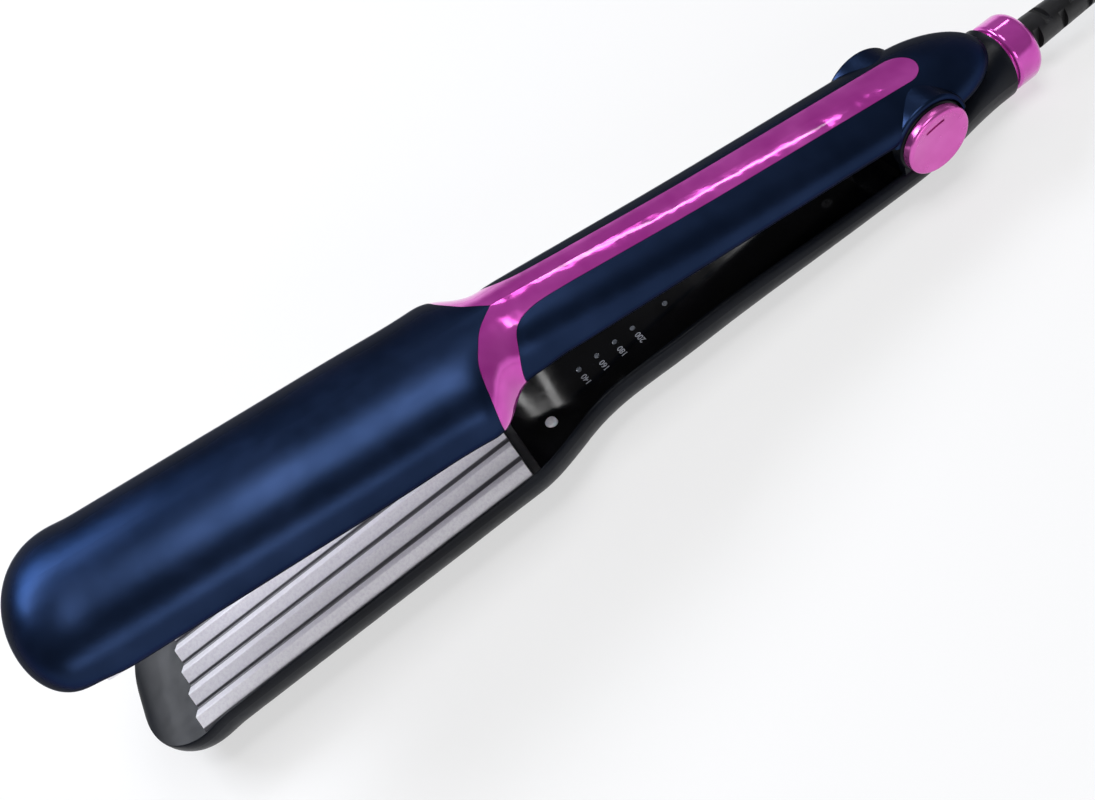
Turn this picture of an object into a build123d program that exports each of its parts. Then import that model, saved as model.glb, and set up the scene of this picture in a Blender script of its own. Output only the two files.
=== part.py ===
from build123d import *
import math
import os

# Corrugating hair iron: two arms on a hinge near the cord end, held open by a spring.
# +X runs from the tips to the cord, -Y is the side with the dial, +Z is up.
# The lower arm lies on its belly. The origin is the middle of that flat strip.
# Places along the arms are given as the distance ahead of the hinge axis, towards the tips.
# Heights above or below the closing plane are measured with the arms shut.

# plates
plate_length = 105.0
plate_rear = 132.0          # hinge axis to the rear end of the plates
ridge_pitch = 7.3
ridge_count = 6
ridge_height = 2.4
ridge_round = 0.5
plate_gap = 0.7             # between the meshed ridges when shut
plate_metal = 2.2           # under the valleys
plate_play = 0.1            # round the plates
upper_plate_inset = 0.45    # the upper plate is this much narrower on each side

# arm shells
plate_rim = 1.1             # shell wall beside the plates
handle_half = 14.5
handle_wall = 1.9
crown_wall = 2.4
belly_depth = 19.0          # closing plane to the surface that the iron lies on
belly_flat = 0.3            # how deep the flat strip is cut into the belly
crown_hinge = 12.3          # height of the upper arm's back at the hinge
crown_grip = 13.4           # in the middle of the grip
crown_waist = 16.8          # at the fork of the trim
crown_front = 18.4          # at the front end of the plates
grip_middle = 60.0
waist = 125.0
rim_set_back = 0.4          # shell rims to the closing plane
upper_grip_gap = 2.5        # upper grip's inner face to the closing plane
lower_grip_gap = 3.3
lower_hinge_gap = 7.2
lower_saddle_gap = 1.4
rim_corner = 0.8            # rounding of the rims
rim_corner_height = 2.4
grip_corner = 1.4
nose_length = 16.5          # front end of the plates to the tips
nose_height = 4.5           # tip above the closing plane
nose_fullness = 2.25        # 2 would be an ellipse
upper_shoulder = 13.0       # length of the neck from the wide part to the grip
lower_shoulder = 29.0
shoulder_lead = 0.5         # the wide part runs on this far behind the plates
panel_lead = 2.6            # thickness of the carrier's lip behind the plates

# rear end of the upper arm
dome_start = -5.0
dome_length = 22.0
dome_height = 6.0

# bright trim let into the upper arm
trim_stem = 5.45            # half width of its stem
trim_rear = -6.5            # rounded rear end of the stem
trim_depth = 1.2
trim_gap = 0.1
trim_overlap = 4.6          # the covers meet this far behind its front edge

# hinge
open_angle = 8.7
ear_radius = 9.7
ear_inner = 11.2
ear_outer = 14.6
ear_round = 1.0
lug_radius = 5.4
lug_thickness = 3.4
lug_play = 0.3
bush_outer = 4.0
bush_flange = 0.8
pin_radius = 2.5
bearing_play = 0.05
notch_play = 0.4
lip_width = 1.2
cap_proud = 1.2
lip_reach = 7.0             # how far in the round lip starts, where it leaves the arm's back
spring_wire = 0.5
spring_turns = 2.25
spring_pitch = 1.08
spring_play = 0.35

# temperature dial
dial_radius = 9.2
dial_thickness = 2.6
dial_gap = 0.3
dial_round = 0.9
dial_dish = 0.7
shaft_radius = 2.45
pointer_length = 5.6
pointer_width = 0.9
pointer_depth = 0.5
pointer_radius = 5.6
switch_radius = 6.3
switch_length = 9.6
switch_end = 3.4
switch_depth = 6.0          # how far the shaft goes in
socket_depth = 1.2
deck_low = 9.8              # bridge of the lower shell that carries the switch
deck_thickness = 1.2

# swivel and strain relief at the cord end
swivel_drop = 8.8           # cord axis below the closing plane
housing_end = -30.5
housing_half = 10.3
ring_radius = 10.0
ring_length = 9.4
ring_bore = 5.5
neck_play = 0.4
chamber_radius = 7.8
chamber_start = -10.0
end_wall = 2.2
head_length = 6.0
head_play = 0.3
spigot_radius = 3.4
slip_ring_wall = 0.5
slip_ring_width = 1.6
relief_root = 5.0
relief_tip = 3.7
relief_length = 36.0
relief_wall = 0.4           # of the sleeve round the cord
rib_pitch = 4.2
rib_slot = 2.0
rib_count = 7

# cord, plug
cord_radius = 2.8
loop_pitch = 6.8            # between neighbouring turns of the hank
layer_pitch = 6.3           # between its layers
layer_folds = 3             # half turns in each layer
hank_folds = 10             # half turns in all
hank_run = 96.0             # from fold to fold
hank_outer = 27.0           # half its width at the folds
hank_waist = 9.0            # how far the tie draws each side in
hank_start = 64.0           # from the strain relief to the first fold line
hank_side = -16.0           # y of the outermost near run
cord_lift = 0.2             # the cord's lowest side over the surface
cord_gap = 0.1              # to the strain relief, which turns
plug_width = 35.0
plug_neck = 14.0
plug_height = 13.6
plug_length = 33.0
plug_relief_length = 20.0
plug_pin_radius = 2.0
plug_pin_length = 19.0
plug_pin_tip = 1.0          # rounding of the free end
plug_pin_root = 8.0         # held in the plug
plug_shoulder_radius = 2.6  # of that root
plug_pin_spacing = 18.6
plug_round = 2.5

# inside
carrier_depth = 5.8
carrier_inset = 5.0
heater_length = 68.0
heater_half = 9.0
heater_thickness = 2.4
clip_thickness = 0.5
clip_bow = 1.2
pocket_play = 0.4
rib_wall = 1.6
panel_thickness = 1.8
panel_recess = 1.6
panel_play = 0.15
upper_panel_thickness = 1.5
upper_recess = 0.3
board_length = 84.0
board_half = 9.5
board_thickness = 1.2
board_rear = 26.0
board_drop = 3.0            # under the panel
post_radius = 2.0
post_inset = 3.2
light_first = 106.2
light_pitch = 6.0
light_count = 4
power_light = 77.4
light_radius = 0.9
light_play = 0.08
light_proud = 0.15
lamp_height = 1.0
relay_height = 4.0
stud_ahead = 120.4
stud_side = 10.4
stud_radius = 1.7
stud_proud = 0.7
screw_head_radius = 1.6
screw_head_height = 1.2
screw_radius = 1.1
screw_length = 8.0
lead_radius = 0.8
lead_spacing = 3.2
frame_thickness = 2.4
frame_half = 10.5
frame_front = 112.0
frame_rear = 8.0
frame_screw_length = 6.0
frame_screws_ahead = (22.0, 62.0, 100.0)
frame_screw_side = 6.0

# worked out
plate_half = ridge_count * ridge_pitch / 2
wide_half = plate_half + plate_play + plate_rim
plate_front = plate_rear + plate_length
nose_set_back = ridge_height / 2 + plate_gap / 2 + 0.2
plate_back = ridge_height / 2 + plate_gap / 2 + plate_metal
tip = plate_front + nose_length
shoulder_front = plate_rear + shoulder_lead
flat_front = plate_front - 12.0
flat_rear = -5.0
hinge_x = (flat_front + flat_rear) / 2
swivel_z = belly_depth - swivel_drop
panel_front = plate_rear - panel_lead
lower_panel_rear = ear_radius - 0.7
upper_panel_rear = 13.0
notch_radius = ear_radius + notch_play
lug_outer = ear_inner - lug_play
lug_inner = lug_outer - lug_thickness
bush_bore = shaft_radius + bearing_play
frame_low = upper_grip_gap + upper_recess + upper_panel_thickness + panel_play
frame_top = frame_low + frame_thickness
cord_height = cord_radius + cord_lift
lower_lip = wide_half - plate_rim - 0.5
upper_lip = wide_half - plate_rim - 1.8
hinge_axis = Axis((hinge_x, 0, belly_depth), (0, 1, 0))


def ahead(a):
    # x of a place that lies a ahead of the hinge axis
    return hinge_x - a


def ease(a, a0, a1, v0, v1):
    # a value that eases from v0 at a0 to v1 at a1
    t = min(max((a - a0) / (a1 - a0), 0.0), 1.0)
    return v0 + (v1 - v0) * t * t * (3 - 2 * t)


def slope(a, a0, a1, v0, v1):
    return v0 + (v1 - v0) * (a - a0) / (a1 - a0)


def crown(a):
    # height of the upper arm's back
    if a < grip_middle:
        return slope(a, 0, grip_middle, crown_hinge, crown_grip)
    if a < waist:
        return slope(a, grip_middle, waist, crown_grip, crown_waist)
    return slope(a, waist, plate_front, crown_waist, crown_front)


def rim_face(a):
    # beside the plates; it dips at their front end, so that the ridges' ends stand free
    return ease(a, plate_front - 7, plate_front, rim_set_back, nose_set_back)


def upper_face(a):
    if a > shoulder_front:
        return rim_face(a)
    return ease(a, shoulder_front - 25, shoulder_front - 2, upper_grip_gap, rim_set_back)


def lower_face(a):
    if a > shoulder_front:
        return rim_face(a)
    if a > 75:
        return ease(a, shoulder_front - 24, shoulder_front - 2, lower_grip_gap, rim_set_back)
    if a > 5:
        return ease(a, 5, 75, lower_hinge_gap, lower_grip_gap)
    if a > -21:
        return ease(a, -27, 5, lower_saddle_gap, lower_hinge_gap)
    return slope(a, -21, housing_end, lower_face(-20.99), swivel_drop - housing_half)


def upper_station(a):
    # half width, back height, height of the widest line, rim rounding, inner face
    half = ease(a, shoulder_front - upper_shoulder, shoulder_front, handle_half, wide_half)
    corner = ease(a, shoulder_front - upper_shoulder, shoulder_front, grip_corner, rim_corner)
    face = upper_face(a)
    return half, crown(a), face + rim_corner_height, corner, face


def lower_station(a):
    half = ease(a, shoulder_front - lower_shoulder, shoulder_front, handle_half, wide_half)
    corner = ease(a, shoulder_front - lower_shoulder, shoulder_front, grip_corner, rim_corner)
    widest = lower_face(a) + rim_corner_height
    if a < 0:
        half = ease(a, housing_end, 0, housing_half, handle_half)
        corner = ease(a, housing_end, 0, housing_half - 0.8, grip_corner)
        widest = ease(a, housing_end, 0, swivel_drop, widest)
    return half, belly_depth + belly_flat, widest, corner, lower_face(a)


def shrunk(station, k, height):
    # a station drawn in towards a point on the middle line
    half, back, widest, corner, face = station
    return half * k, *(height + (v - height) * k for v in (back, widest)), corner * k, height + (face - height) * k


def round_end(station, a0, length, height, fullness):
    # stations that close an arm's end with a smooth nose or dome
    ends = []
    for turn in (18, 36, 52, 66, 78, 87):
        s = math.sin(math.radians(turn)) ** (2 / fullness)
        k = math.cos(math.radians(turn)) ** (2 / fullness)
        ends.append((a0 + length * s, shrunk(station, k, height)))
    return ends


def section_plane(a):
    return Plane(origin=(ahead(a), 0, belly_depth), x_dir=(0, 1, 0), z_dir=(1, 0, 0))


def arm_section(a, station):
    # flat inner face, rounded rims and an elliptical back
    half, back, widest, corner, face = station
    flat = half - corner
    edges = [
        Line((-flat, face), (flat, face)),
        EllipticalCenterArc((flat, widest), corner, widest - face, -90, arc_size=90),
        EllipticalCenterArc((0, widest), half, back - widest, 0, arc_size=90),
        EllipticalCenterArc((0, widest), half, back - widest, 90, arc_size=90),
        EllipticalCenterArc((-flat, widest), corner, widest - face, 180, arc_size=90),
    ]
    return section_plane(a) * make_face(edges)


def room_section(a, station, wall, back_wall, reach):
    # the space inside a shell, open towards the other arm
    half, back, widest, corner, face = station
    half = half - wall
    depth = back - back_wall - widest
    edges = [
        Line((-half, -reach), (half, -reach)),
        Line((half, -reach), (half, widest)),
        EllipticalCenterArc((0, widest), half, depth, 0, arc_size=90),
        EllipticalCenterArc((0, widest), half, depth, 90, arc_size=90),
        Line((-half, widest), (-half, -reach)),
    ]
    return section_plane(a) * make_face(edges)


def body_stations(station_at, rear):
    # the run of stations between the nose and the hinge, closest where the width changes
    front = [plate_front - d for d in (5.0, 10.0, 23.0)]
    neck = [shoulder_front - d for d in (0, 3.5, 6.5, 9.5, 12.5, 16.5, 21.5, 28.5)]
    middle = [slope(i, 0, 4, front[-1], neck[0] + 3.5) for i in (1, 2, 3, 4)]
    grip = [slope(i, 0, 5, neck[-1], 10.0) for i in (1, 2, 3, 4, 5)]
    return [(a, station_at(a)) for a in front + middle + neck + grip + rear]


def arm_hull(station_at, rear, rear_end):
    nose = round_end(station_at(plate_front), plate_front, nose_length, nose_height, nose_fullness)
    stations = nose[::-1] + [(plate_front, station_at(plate_front))] + body_stations(station_at, rear) + rear_end
    return loft([arm_section(a, s) for a, s in stations])


def wall_at(a):
    # side walls are thinner beside the plates
    return ease(a, shoulder_front - lower_shoulder, shoulder_front - 8, handle_wall, plate_rim)


def arm_room(station_at, rear, play=0.0, reach=9.0, front=None):
    front = plate_front + plate_play if front is None else front
    places = [a for a in body_stations(station_at, rear) if a[0] < front - 4]
    stations = [(front, station_at(min(front, plate_front)))] + places
    return loft([room_section(a, s, wall_at(a) + play, crown_wall + play, reach) for a, s in stations], ruled=True)


def turned_over(shape):
    return shape.mirror(Plane(origin=(0, 0, belly_depth), z_dir=(0, 0, 1)))


def opened(shape):
    # the upper arm stands open on its spring
    return shape.rotate(hinge_axis, open_angle)


def block(a0, a1, y0, y1, h0, h1):
    # a box between two places along the arm, two across and two heights over the closing plane
    size = (a1 - a0, y1 - y0, h1 - h0)
    middle = (ahead((a0 + a1) / 2), (y0 + y1) / 2, belly_depth + (h0 + h1) / 2)
    return Pos(*middle) * Box(*size)


def peg(a, y, h0, h1, radius):
    return Pos(ahead(a), y, belly_depth + (h0 + h1) / 2) * Cylinder(radius, h1 - h0)


def cross_rod(y0, y1, radius, a=0.0, h=0.0):
    # a round bar across the iron
    return Pos(ahead(a), (y0 + y1) / 2, belly_depth + h) * Rot(90, 0, 0) * Cylinder(radius, abs(y1 - y0))


def long_rod(a0, a1, radius, y=0.0, h=0.0):
    # a round bar along the iron
    return Pos(ahead((a0 + a1) / 2), y, belly_depth + h) * Rot(0, 90, 0) * Cylinder(radius, abs(a1 - a0))


def side_band(places, top_at, thickness, across):
    # a strip that follows a line in side view, as wide as the arm
    top = [(ahead(a), belly_depth + top_at(a)) for a in places]
    low = [(x, z - thickness) for x, z in top]
    outline = [Spline(*top), Line(top[-1], low[-1]), Spline(*low[::-1]), Line(low[0], top[0])]
    plane = Plane(origin=(0, 0, 0), x_dir=(1, 0, 0), z_dir=(0, -1, 0))
    return extrude(plane * make_face(outline), amount=across, both=True)


# corrugated plates

def wave_points(height):
    # valley, crest, valley ... across the plate
    half = ridge_pitch / 2
    count = 2 * ridge_count + 1
    return [(-plate_half + i * half, height + (ridge_height / 2 if i % 2 else -ridge_height / 2)) for i in range(count)]


def plate_solid(height, back):
    wave = wave_points(height)
    top = FilletPolyline(*wave, radius=ridge_round)
    rest = Polyline(wave[-1], (plate_half, back), (-plate_half, back), wave[0])
    face = section_plane(plate_rear) * make_face([top, rest])
    return extrude(face, amount=-plate_length)


def lower_plate():
    return plate_solid(-plate_gap / 2, -plate_back)


def upper_plate():
    inset = plate_half - upper_plate_inset
    trim = block(plate_rear, plate_front, -inset, inset, -ridge_height, plate_back)
    return plate_solid(plate_gap / 2, plate_back) & trim


# what presses on the plates, drawn over the closing plane and turned over for the lower arm

def heater():
    middle = plate_rear + plate_length / 2
    half = heater_length / 2
    return block(middle - half, middle + half, -heater_half, heater_half, plate_back, plate_back + heater_thickness)


def carrier(lip_half):
    # heat-proof tray behind a plate, with a lip at the plate's rear end
    half = plate_half - carrier_inset
    front = plate_front - 0.5
    tray = block(panel_front, front, -half, half, plate_back, plate_back + carrier_depth)
    middle = plate_rear + plate_length / 2
    reach = heater_length / 2 + pocket_play
    pocket_half = heater_half + pocket_play
    pocket_floor = plate_back + heater_thickness + clip_bow + clip_thickness
    pocket = block(middle - reach, middle + reach, -pocket_half, pocket_half, plate_back, pocket_floor)
    lip = block(panel_front, plate_rear - plate_play, -lip_half, lip_half, nose_set_back + 0.1, plate_back)
    slots = []
    for y in (-pocket_half - 4.0, pocket_half + 4.0):
        for a in (middle - 30, middle, middle + 30):
            slots.append(block(a - 10, a + 10, y - 1.6, y + 1.6, plate_back, pocket_floor))
    wire_way = block(panel_front - 1, middle - reach + 1, -3.2, 3.2, plate_back + 0.4, plate_back + 2.8)
    tray = tray + lip - pocket - wire_way
    return tray - slots


def heater_clip():
    # bowed spring strip that presses the heater on to the plate
    low = plate_back + heater_thickness
    middle = ahead(plate_rear + plate_length / 2)
    reach = heater_length / 2 - 6
    z0 = belly_depth + low
    inner = ThreePointArc((middle - reach, z0 + clip_bow), (middle, z0), (middle + reach, z0 + clip_bow))
    z1 = z0 + clip_thickness
    outer = ThreePointArc((middle + reach, z1 + clip_bow), (middle, z1), (middle - reach, z1 + clip_bow))
    ends = [Line((middle + reach, z0 + clip_bow), (middle + reach, z1 + clip_bow)),
            Line((middle - reach, z1 + clip_bow), (middle - reach, z0 + clip_bow))]
    plane = Plane(origin=(0, 0, 0), x_dir=(1, 0, 0), z_dir=(0, -1, 0))
    return extrude(plane * make_face([inner, ends[0], outer, ends[1]]), amount=heater_half - 3, both=True)


def thermal_fuse():
    # lies beside the clip on the heater
    middle = plate_rear + plate_length / 2
    radius = 0.8
    return long_rod(middle + 10, middle + 20, radius, heater_half - 1.2, plate_back + heater_thickness + radius)


# lower arm

def ears():
    # round cheeks of the lower shell on both sides of the hinge
    cheeks = []
    for side in (-1, 1):
        disc = cross_rod(side * ear_inner, side * ear_outer, ear_radius)
        rim = disc.edges().filter_by(GeomType.CIRCLE).sort_by(Axis.Y)[0 if side < 0 else -1]
        reach = ear_radius - ear_round
        y0, y1 = sorted((side * ear_inner, side * (ear_outer - ear_round)))
        foot = block(-reach, reach, y0, y1, -lower_face(0) - rim_corner_height, 0)
        cheeks.append(fillet(rim, ear_round) + foot)
    return cheeks


lower_rear = [0, -7, -13, -18, -21, -24, -27.5]
lower_hull = turned_over(arm_hull(lower_station, lower_rear, [(housing_end, lower_station(housing_end))]))
lower_hull -= Pos(0, 0, -belly_depth) * Box(900, 200, 2 * belly_depth)
lower_room = turned_over(arm_room(lower_station, [0, -7]))
room_end = -7.0


def panel_top(a):
    # height of the lower grip's inner panel
    if a > grip_middle:
        recess = ease(a, shoulder_front - 24, panel_front, panel_recess, rim_set_back)
    else:
        recess = ease(a, lower_panel_rear, grip_middle, rim_set_back, panel_recess)
    return -lower_face(a) - recess


board_top = panel_top(90) - panel_thickness - board_drop
board_low = board_top - board_thickness
board_front = board_rear + board_length
stud_face = panel_top(stud_ahead)
stud_floor = stud_face - 1.6
screw_seat = stud_floor - 0.1 - screw_head_height
boss_joint = screw_seat - 2.4


def lower_shell():
    shell = lower_hull - lower_room
    additions = []
    for a in (plate_rear + 8, plate_rear + plate_length / 2, plate_front - 12):
        additions.append(block(a, a + rib_wall, -wide_half, wide_half, -belly_depth, -plate_back - carrier_depth))
    for a in (board_rear + post_inset, board_front - post_inset):
        for y in (-board_half + post_inset, board_half - post_inset):
            additions.append(peg(a, y, -belly_depth, board_low, post_radius))
    for y in (-stud_side, stud_side):
        additions.append(peg(stud_ahead, y, -belly_depth, boss_joint, screw_radius + 1.4))
    additions.append(block(room_end - 0.5, lower_panel_rear - 0.3, -wide_half, wide_half,
                           -deck_low, -deck_low + deck_thickness))
    for item in additions:
        shell += item & lower_room
    for y in (-stud_side, stud_side):
        shell -= peg(stud_ahead, y, screw_seat - screw_length, 0, screw_radius)
    shell -= long_rod(chamber_start, housing_end + end_wall, chamber_radius, 0, -swivel_drop)
    shell -= long_rod(housing_end + end_wall, housing_end - 1, ring_bore, 0, -swivel_drop)
    shell -= block(chamber_start - 0.1, room_end + 0.5, -3, 3, lead_height - 1.2, lead_height + 1.2)
    for cheek in ears():
        shell += cheek
    shell -= cross_rod(-ear_outer - 1, -ear_inner + 0.1, bush_outer)
    shell -= cross_rod(ear_inner - 0.1, ear_outer + 1, pin_radius)
    shell -= cross_rod(-ear_outer - 1, -ear_outer + bush_flange, bush_outer + 1)
    shell -= cross_rod(ear_outer - bush_flange, ear_outer + 1, pin_radius + 1.8)
    return shell


lead_height = -deck_low - lead_radius - 0.3


def lower_panel():
    # gloss inner cover of the lower grip
    room = turned_over(arm_room(lower_station, [0, -7], play=panel_play))
    places = [panel_front - 0.2, 126, 121, 115, 108, 98, 80, 60, 44, 28, lower_panel_rear]
    panel = room & side_band(places, panel_top, panel_thickness, 30)
    for y in (-stud_side, stud_side):
        panel += peg(stud_ahead, y, boss_joint, stud_face - 0.9, screw_radius + 1.4)
        panel -= peg(stud_ahead, y, stud_floor, stud_face + 3, stud_radius)
        panel -= peg(stud_ahead, y, screw_seat, stud_floor + 0.1, screw_head_radius)
        panel -= peg(stud_ahead, y, boss_joint - 1, screw_seat + 0.1, screw_radius)
    for a in light_places():
        panel -= peg(a, 0, panel_top(a) - 4, panel_top(a) + 2, light_radius)
    return panel


def light_places():
    return [light_first - i * light_pitch for i in range(light_count)] + [power_light]


def top_rim(solid, axis=Axis.Z):
    return solid.edges().filter_by(GeomType.CIRCLE).sort_by(axis)[-1]


def indicator_lenses():
    # light guides from the lamps on the board to the panel
    lenses = []
    for a in light_places():
        lens = peg(a, 0, board_top + lamp_height, panel_top(a) + light_proud, light_radius - light_play)
        lenses.append(fillet(top_rim(lens), light_radius / 3))
    return lenses


def circuit_board():
    return block(board_rear, board_front, -board_half, board_half, board_low, board_top)


def board_parts():
    # lamps under the lenses, a relay and two capacitors
    parts = [block(a - 1.2, a + 1.2, -0.8, 0.8, board_top, board_top + lamp_height) for a in light_places()]
    parts.append(block(46, 60, -6, 4, board_low - relay_height, board_low))
    for y in (-4.5, 4.5):
        parts.append(peg(37, y, board_low - relay_height, board_low, 2.6))
    return parts


def stop_studs():
    # pale soft buttons that also cover the panel's screws
    studs = []
    for y in (-stud_side, stud_side):
        stud = peg(stud_ahead, y, stud_floor, stud_face + stud_proud, stud_radius - light_play)
        studs.append(fillet(top_rim(stud), stud_proud * 0.8))
    return studs


def screw(a, y, seat, up, length):
    # pan head with a crossed slot; up is 1 where the head looks up
    head = peg(a, y, *sorted((seat, seat + up * screw_head_height)), screw_head_radius - light_play)
    shank = peg(a, y, *sorted((seat, seat - up * (length - 0.4))), screw_radius - light_play)
    top = seat + up * screw_head_height
    slot = sorted((top, top - up * 0.6))
    return head + shank - block(a - 1, a + 1, y - 0.25, y + 0.25, *slot) - block(a - 0.25, a + 0.25, y - 1, y + 1, *slot)


def panel_screws():
    return [screw(stud_ahead, y, screw_seat, 1, screw_length) for y in (-stud_side, stud_side)]


# hinge

def hinge_bush():
    # hollow brass bearing in the near ear, which the dial's shaft passes
    y0 = -ear_outer + bush_flange
    tube = cross_rod(y0, -lug_inner, bush_outer)
    flange = cross_rod(-ear_outer + 0.1, y0, bush_outer + 0.9)
    return tube + flange - cross_rod(-ear_outer - 1, -lug_inner + 1, bush_bore)


def hinge_pin():
    # steel shoulder pin in the far ear, long enough to carry the spring
    shank = cross_rod(switch_end + 0.4, ear_outer - bush_flange, pin_radius)
    head = cross_rod(ear_outer - bush_flange, ear_outer - 0.1, pin_radius + 1.7)
    return shank + head


def hinge_cap():
    # shallow cap over the far end of the hinge pin
    cap = cross_rod(ear_outer, ear_outer + cap_proud, ear_radius - ear_round - 0.6)
    return fillet(top_rim(cap, Axis.Y), cap_proud * 0.6)


def rotary_switch():
    # the dial turns it; it stands on the bridge of the lower shell
    y0 = switch_end - switch_length
    body = cross_rod(y0, switch_end, switch_radius)
    foot = block(-4.5, 4.5, y0 + 1, switch_end - 1, -deck_low + deck_thickness, -switch_radius + 2)
    contacts = block(-3, 3, y0 + 3, switch_end - 3, switch_radius - 1, switch_radius + 0.8)
    return body + foot + contacts - cross_rod(y0 - 1, y0 + switch_depth, bush_bore)


def biarc(start, end):
    # two arcs that leave one point and reach the next along their given headings
    (p0, t0), (p1, t1) = start, end
    gap = p1 - p0
    along = gap.dot(t0 + t1)
    c = 2 * (1 - t0.dot(t1))
    reach = (-along + math.sqrt(along * along + c * gap.dot(gap))) / c if c > 1e-9 else gap.dot(gap) / (4 * gap.dot(t1))
    middle = (p0 + t0 * reach + p1 - t1 * reach) * 0.5
    heading = ((p1 - t1 * reach) - (p0 + t0 * reach)).normalized()
    return [TangentArc(p0, middle, tangent=t0), TangentArc(middle, p1, tangent=heading)]


def wound_tube(points, radius, lead=0.0, tail=0.0):
    # one unbroken round tube through points with headings, straight at its ends
    edges = []
    if lead:
        edges.append(Line(points[0][0] - points[0][1] * lead, points[0][0]))
    for start, end in zip(points, points[1:]):
        edges += biarc(start, end)
    if tail:
        edges.append(Line(points[-1][0], points[-1][0] + points[-1][1] * tail))
    path = Wire(edges)
    ring = Plane(origin=path @ 0, z_dir=path % 0) * Circle(radius)
    return sweep(ring, path=path), path


def hinge_spring():
    # torsion spring round the pin: one leg stands on the bridge, the other pushes on the upper frame
    radius = pin_radius + spring_play + spring_wire
    start = switch_end + spring_play + spring_wire
    points = []
    for i in range(round(spring_turns * 4) + 1):
        turn = i * math.pi / 2
        y = start + spring_pitch * i / 4
        place = Vector(hinge_x + radius * math.cos(turn), y, belly_depth + radius * math.sin(turn))
        rise = 0 if i in (0, round(spring_turns * 4)) else spring_pitch / (2 * math.pi * radius)
        heading = Vector(-math.sin(turn), rise, math.cos(turn)).normalized()
        points.append((place, heading))
    leg = deck_low - deck_thickness - 0.1
    return wound_tube(points, spring_wire, lead=leg, tail=frame_rear + 3)[0]


# dial

def dial():
    # dished knob with a pointer mark
    y0 = -ear_outer - dial_gap
    y1 = y0 - dial_thickness
    knob = cross_rod(y0, y1, dial_radius)
    rim = knob.edges().filter_by(GeomType.CIRCLE).sort_by(Axis.Y)[0]
    knob = fillet(rim, dial_round)
    inner = dial_radius - dial_round - 0.4
    bowl = (inner ** 2 + dial_dish ** 2) / (2 * dial_dish)
    knob -= Pos(hinge_x, y1 + dial_dish - bowl, belly_depth) * Sphere(bowl)
    mark = Box(pointer_length, 2 * (dial_dish + pointer_depth), pointer_width)
    knob -= Pos(hinge_x - 0.5, y1, belly_depth + pointer_radius) * mark.rotate(Axis.Y, -6)
    return knob - cross_rod(y0 + 1, y0 - socket_depth, shaft_radius)


def dial_shaft():
    return cross_rod(-ear_outer - dial_gap - socket_depth, switch_end - switch_length + switch_depth - 0.2, shaft_radius)


# swivel

def swivel_ring():
    # bright collar on the end of the housing
    r = ring_radius
    x0 = ahead(housing_end)
    x1 = x0 + ring_length
    profile = [
        Line((x0, ring_bore), (x0, r - 1.1)),
        Line((x0, r - 1.1), (x0 + 1.3, r - 1.1)),
        Line((x0 + 1.3, r - 1.1), (x0 + 1.3, r - 0.9)),
        ThreePointArc((x0 + 1.3, r - 0.9), (x0 + 1.65, r - 0.25), (x0 + 2.4, r)),
        Line((x0 + 2.4, r), (x1 - 2.6, r)),
        ThreePointArc((x1 - 2.6, r), (x1 - 0.75, r - 0.75), (x1, r - 2.6)),
        Line((x1, r - 2.6), (x1 - 0.6, ring_bore + 0.9)),
        Line((x1 - 0.6, ring_bore + 0.9), (x1 - 0.6, ring_bore)),
        Line((x1 - 0.6, ring_bore), (x0, ring_bore)),
    ]
    return Pos(0, 0, swivel_z) * revolve(Plane.XZ * make_face(profile), Axis.X)


flange_front = housing_end + end_wall + head_play + head_length


def swivel_bush():
    # bearing block that holds the brushes for the slip rings
    sleeve = long_rod(chamber_start, flange_front + head_play, chamber_radius, 0, -swivel_drop)
    bore = spigot_radius + slip_ring_wall + head_play
    sleeve -= long_rod(chamber_start - 1.5, flange_front, bore, 0, -swivel_drop)
    return sleeve


def swivel_head():
    # flange and spigot that turn with the cord
    back = flange_front - head_length
    flange = long_rod(flange_front, back, chamber_radius - neck_play, 0, -swivel_drop)
    spigot = long_rod(chamber_start - 2, flange_front, spigot_radius, 0, -swivel_drop)
    neck = long_rod(back, housing_end - ring_length, ring_bore - neck_play, 0, -swivel_drop)
    return flange + spigot + neck


def slip_rings():
    rings = []
    for i in range(2):
        a = chamber_start - 3.2 - i * 3.4
        outer = long_rod(a, a - slip_ring_width, spigot_radius + slip_ring_wall, 0, -swivel_drop)
        rings.append(outer - long_rod(a + 1, a - slip_ring_width - 1, spigot_radius, 0, -swivel_drop))
    return rings


def strain_relief():
    # tapered sleeve, slotted from two sides in turn so that it bends
    x0 = ahead(housing_end - ring_length)
    x1 = x0 + relief_length
    profile = Polyline((x0, 0), (x0, relief_root), (x0 + 2, relief_root), (x1, relief_tip), (x1, 0), close=True)
    sleeve = revolve(Plane.XZ * make_face(profile), Axis.X)
    core = cord_radius + relief_wall
    for i in range(rib_count):
        slot = Box(rib_slot, 8, 2 * relief_root + 2)
        for side in (-1, 1):
            pocket = Pos(x0 + 3.2 + i * rib_pitch, side * (core + 4), 0) * slot
            sleeve -= pocket.rotate(Axis.X, 90 * (i % 2))
    return Pos(0, 0, swivel_z) * sleeve


# upper arm, drawn shut

upper_rear = [0, dome_start]
dome = round_end(upper_station(dome_start), dome_start, -dome_length, dome_height, 2.0)
upper_hull = arm_hull(upper_station, upper_rear, dome)
upper_room = arm_room(upper_station, upper_rear + [-12])


def under_skin(depth):
    # what is left of the upper hull without its outer skin
    stations = [(plate_front - 4, upper_station(plate_front - 4))]
    stations += [s for s in body_stations(upper_station, upper_rear + [-12]) if s[0] < plate_front - 6]
    sections = []
    for a, (half, back, widest, corner, face) in stations:
        sections.append(arm_section(a, (half - depth, back - depth, widest, corner, face - 9)))
    return loft(sections, ruled=True)


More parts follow.
